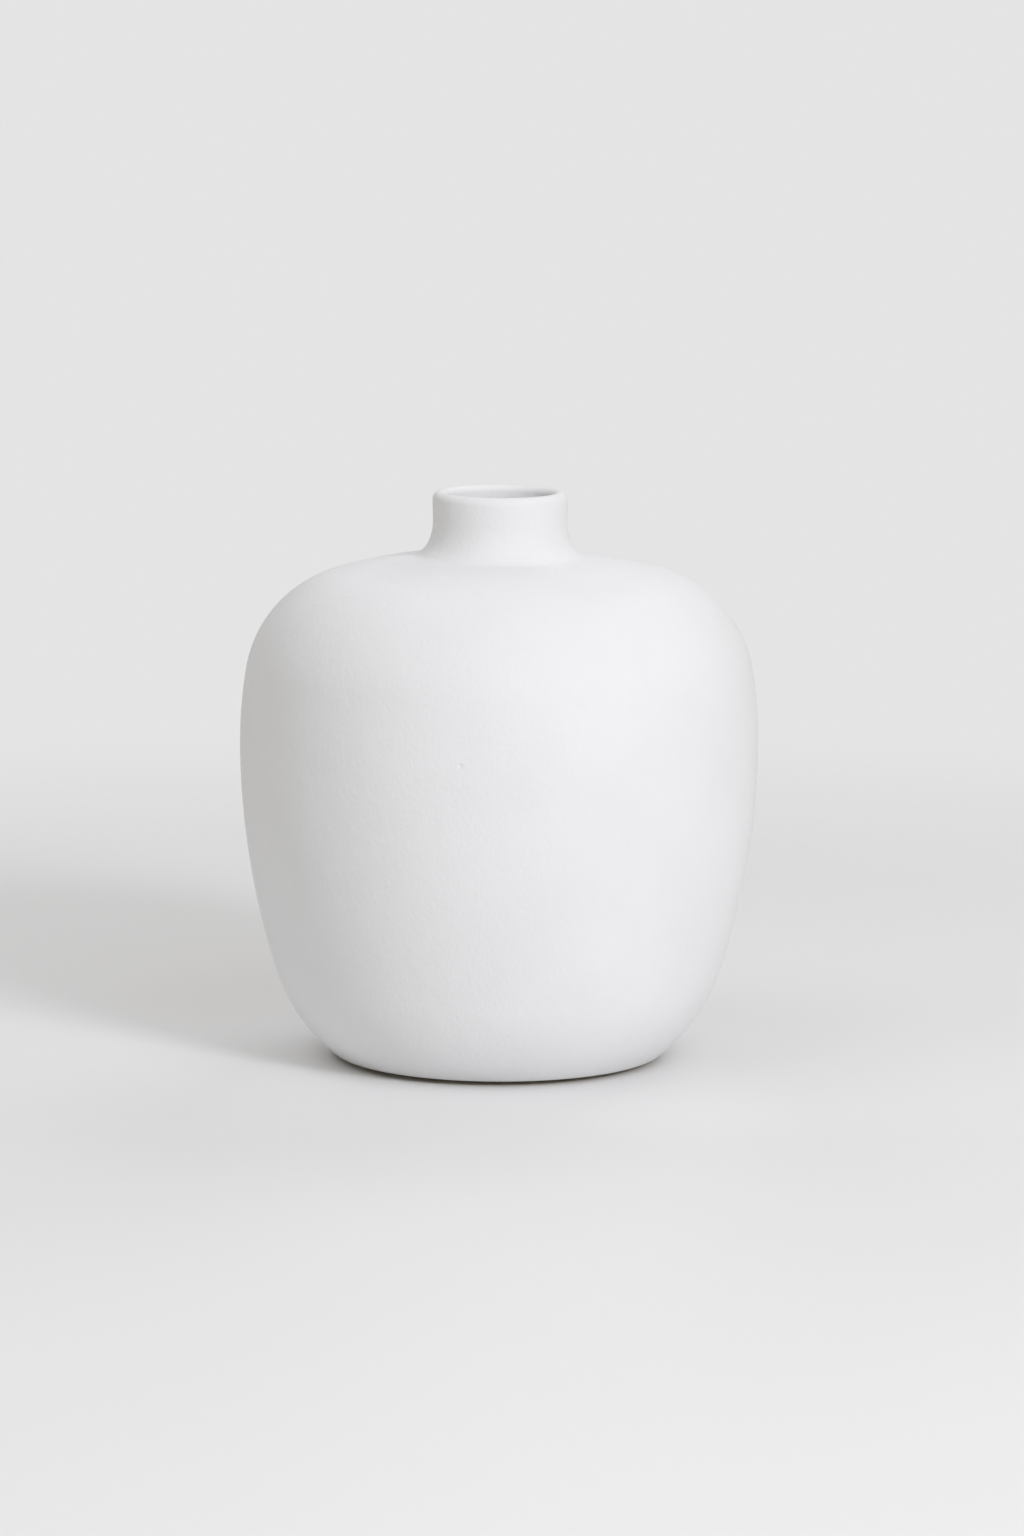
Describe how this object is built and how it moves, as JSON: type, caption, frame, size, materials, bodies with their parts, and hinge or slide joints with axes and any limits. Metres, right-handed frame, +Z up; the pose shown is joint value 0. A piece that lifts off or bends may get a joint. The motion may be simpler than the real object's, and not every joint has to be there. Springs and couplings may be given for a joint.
{
  "type": "ceramic bud vase",
  "caption": "Squat round stoneware vase in matt white glaze, with a broad shoulder and a short narrow neck for holding bud stems.",
  "frame": {"origin": "on the axis of the vase, on the surface that its felt pads stand on", "axes": "+Z up along the axis of the vase, towards the mouth; the first felt pad is midway between +X and +Y"},
  "size_m": [0.1368, 0.1368, 0.1505],
  "materials": {
    "bare_clay": "unglazed fired stoneware",
    "matt_glaze": "matt white with a fine dry grain",
    "lining_glaze": "satin white",
    "felt": "charcoal wool felt",
    "adhesive": "cured acrylic film"
  },
  "bodies": {
    "root": {"clay_body": "bare_clay", "outer_glaze": "matt_glaze", "inner_glaze": "lining_glaze", "felt_pad_1": "felt", "felt_pad_2": "felt", "felt_pad_3": "felt", "felt_pad_4": "felt", "pad_adhesive_1": "adhesive", "pad_adhesive_2": "adhesive", "pad_adhesive_3": "adhesive", "pad_adhesive_4": "adhesive"}
  },
  "joints": []
}
